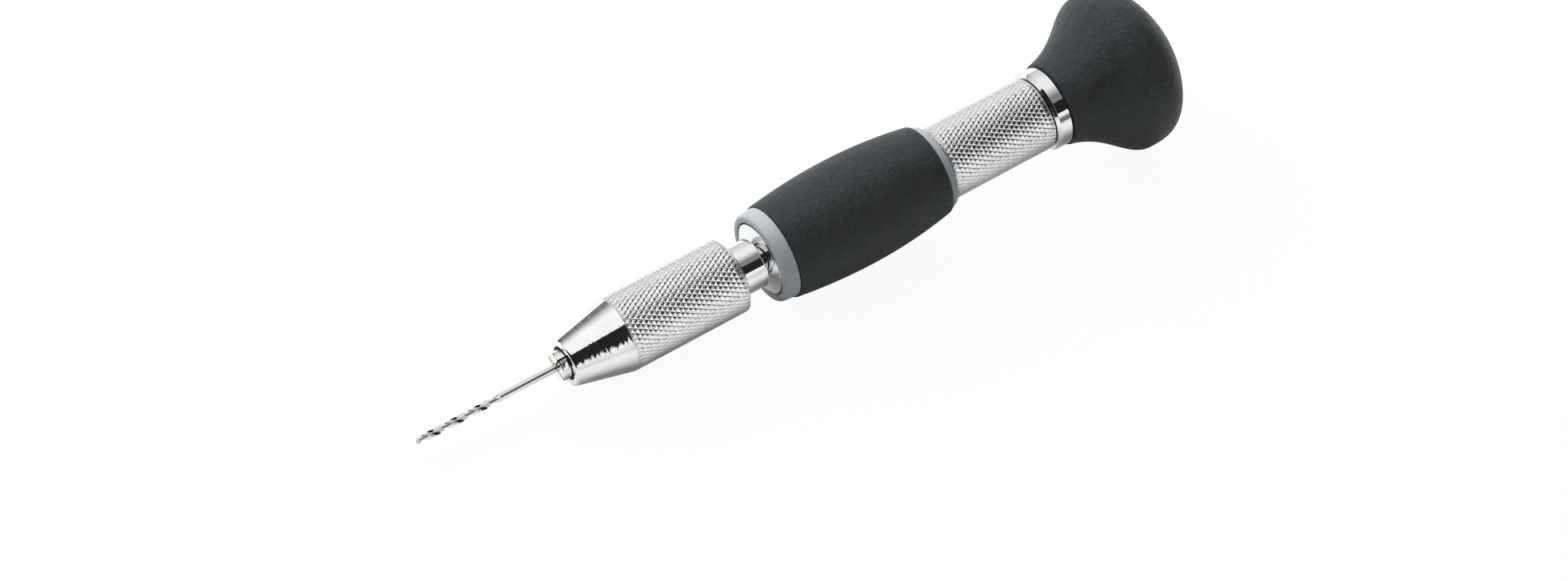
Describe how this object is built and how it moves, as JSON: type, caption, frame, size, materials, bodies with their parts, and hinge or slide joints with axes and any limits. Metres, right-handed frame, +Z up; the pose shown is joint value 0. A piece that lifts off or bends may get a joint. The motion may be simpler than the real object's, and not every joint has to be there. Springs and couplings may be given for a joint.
{
  "type": "pin vise",
  "caption": "Hand-held pin vise: a knurled chuck nut closes a split collet on a twist drill, with a soft crowned grip on a knurled barrel and a free-turning palm knob.",
  "frame": {"origin": "middle of the tool's length, below its axis, on the surface that it lies on", "axes": "+X along the tool axis from the drill towards the palm knob, +Z up"},
  "size_m": [0.112, 0.0216, 0.0216],
  "materials": {
    "drill_steel": "ground bright steel",
    "collet_steel": "turned bright steel",
    "nut_chrome": "polished nose and knurled grip, chrome plated",
    "spindle_chrome": "polished chrome plate",
    "core_grey": "satin light grey",
    "sleeve_rubber": "fine matt texture, black",
    "barrel_chrome": "knurled, chrome plated",
    "collar_chrome": "polished chrome plate",
    "washer_nylon": "plain, natural white",
    "screw_zinc": "zinc plated",
    "knob_core_plastic": "plain dark grey",
    "knob_rubber": "fine leathery texture, black"
  },
  "bodies": {
    "handle": {"spindle": "spindle_chrome", "barrel": "barrel_chrome", "grip_core": "core_grey", "grip_sleeve": "sleeve_rubber", "rear_collar": "collar_chrome"},
    "collet": {"collet": "collet_steel"},
    "chuck_nut": {"chuck_nut": "nut_chrome"},
    "drill": {"drill_bit": "drill_steel"},
    "knob": {"knob_core": "knob_core_plastic", "knob_cover": "knob_rubber", "swivel_screw": "screw_zinc", "thrust_washer": "washer_nylon"}
  },
  "joints": [
    {"name": "collet_travel", "type": "slide", "parent": "handle", "child": "collet", "axis": [-1, 0, 0], "range_m": [0, 0.003]},
    {"name": "nut_turn", "type": "hinge", "parent": "collet", "child": "chuck_nut", "pos_m": [-0.02, 0, 0.01082], "axis": [-1, 0, 0], "range_deg": [0, 1440]},
    {"name": "drill_pull", "type": "slide", "parent": "collet", "child": "drill", "axis": [-1, 0, 0], "range_m": [0, 0.0143]},
    {"name": "knob_swivel", "type": "hinge", "parent": "handle", "child": "knob", "pos_m": [0.03862, 0, 0.01082], "axis": [1, 0, 0], "continuous": true}
  ],
  "couplings": [
    {"joint": "collet_travel", "follows": "nut_turn", "m_per_rad": 0.00011937}
  ]
}
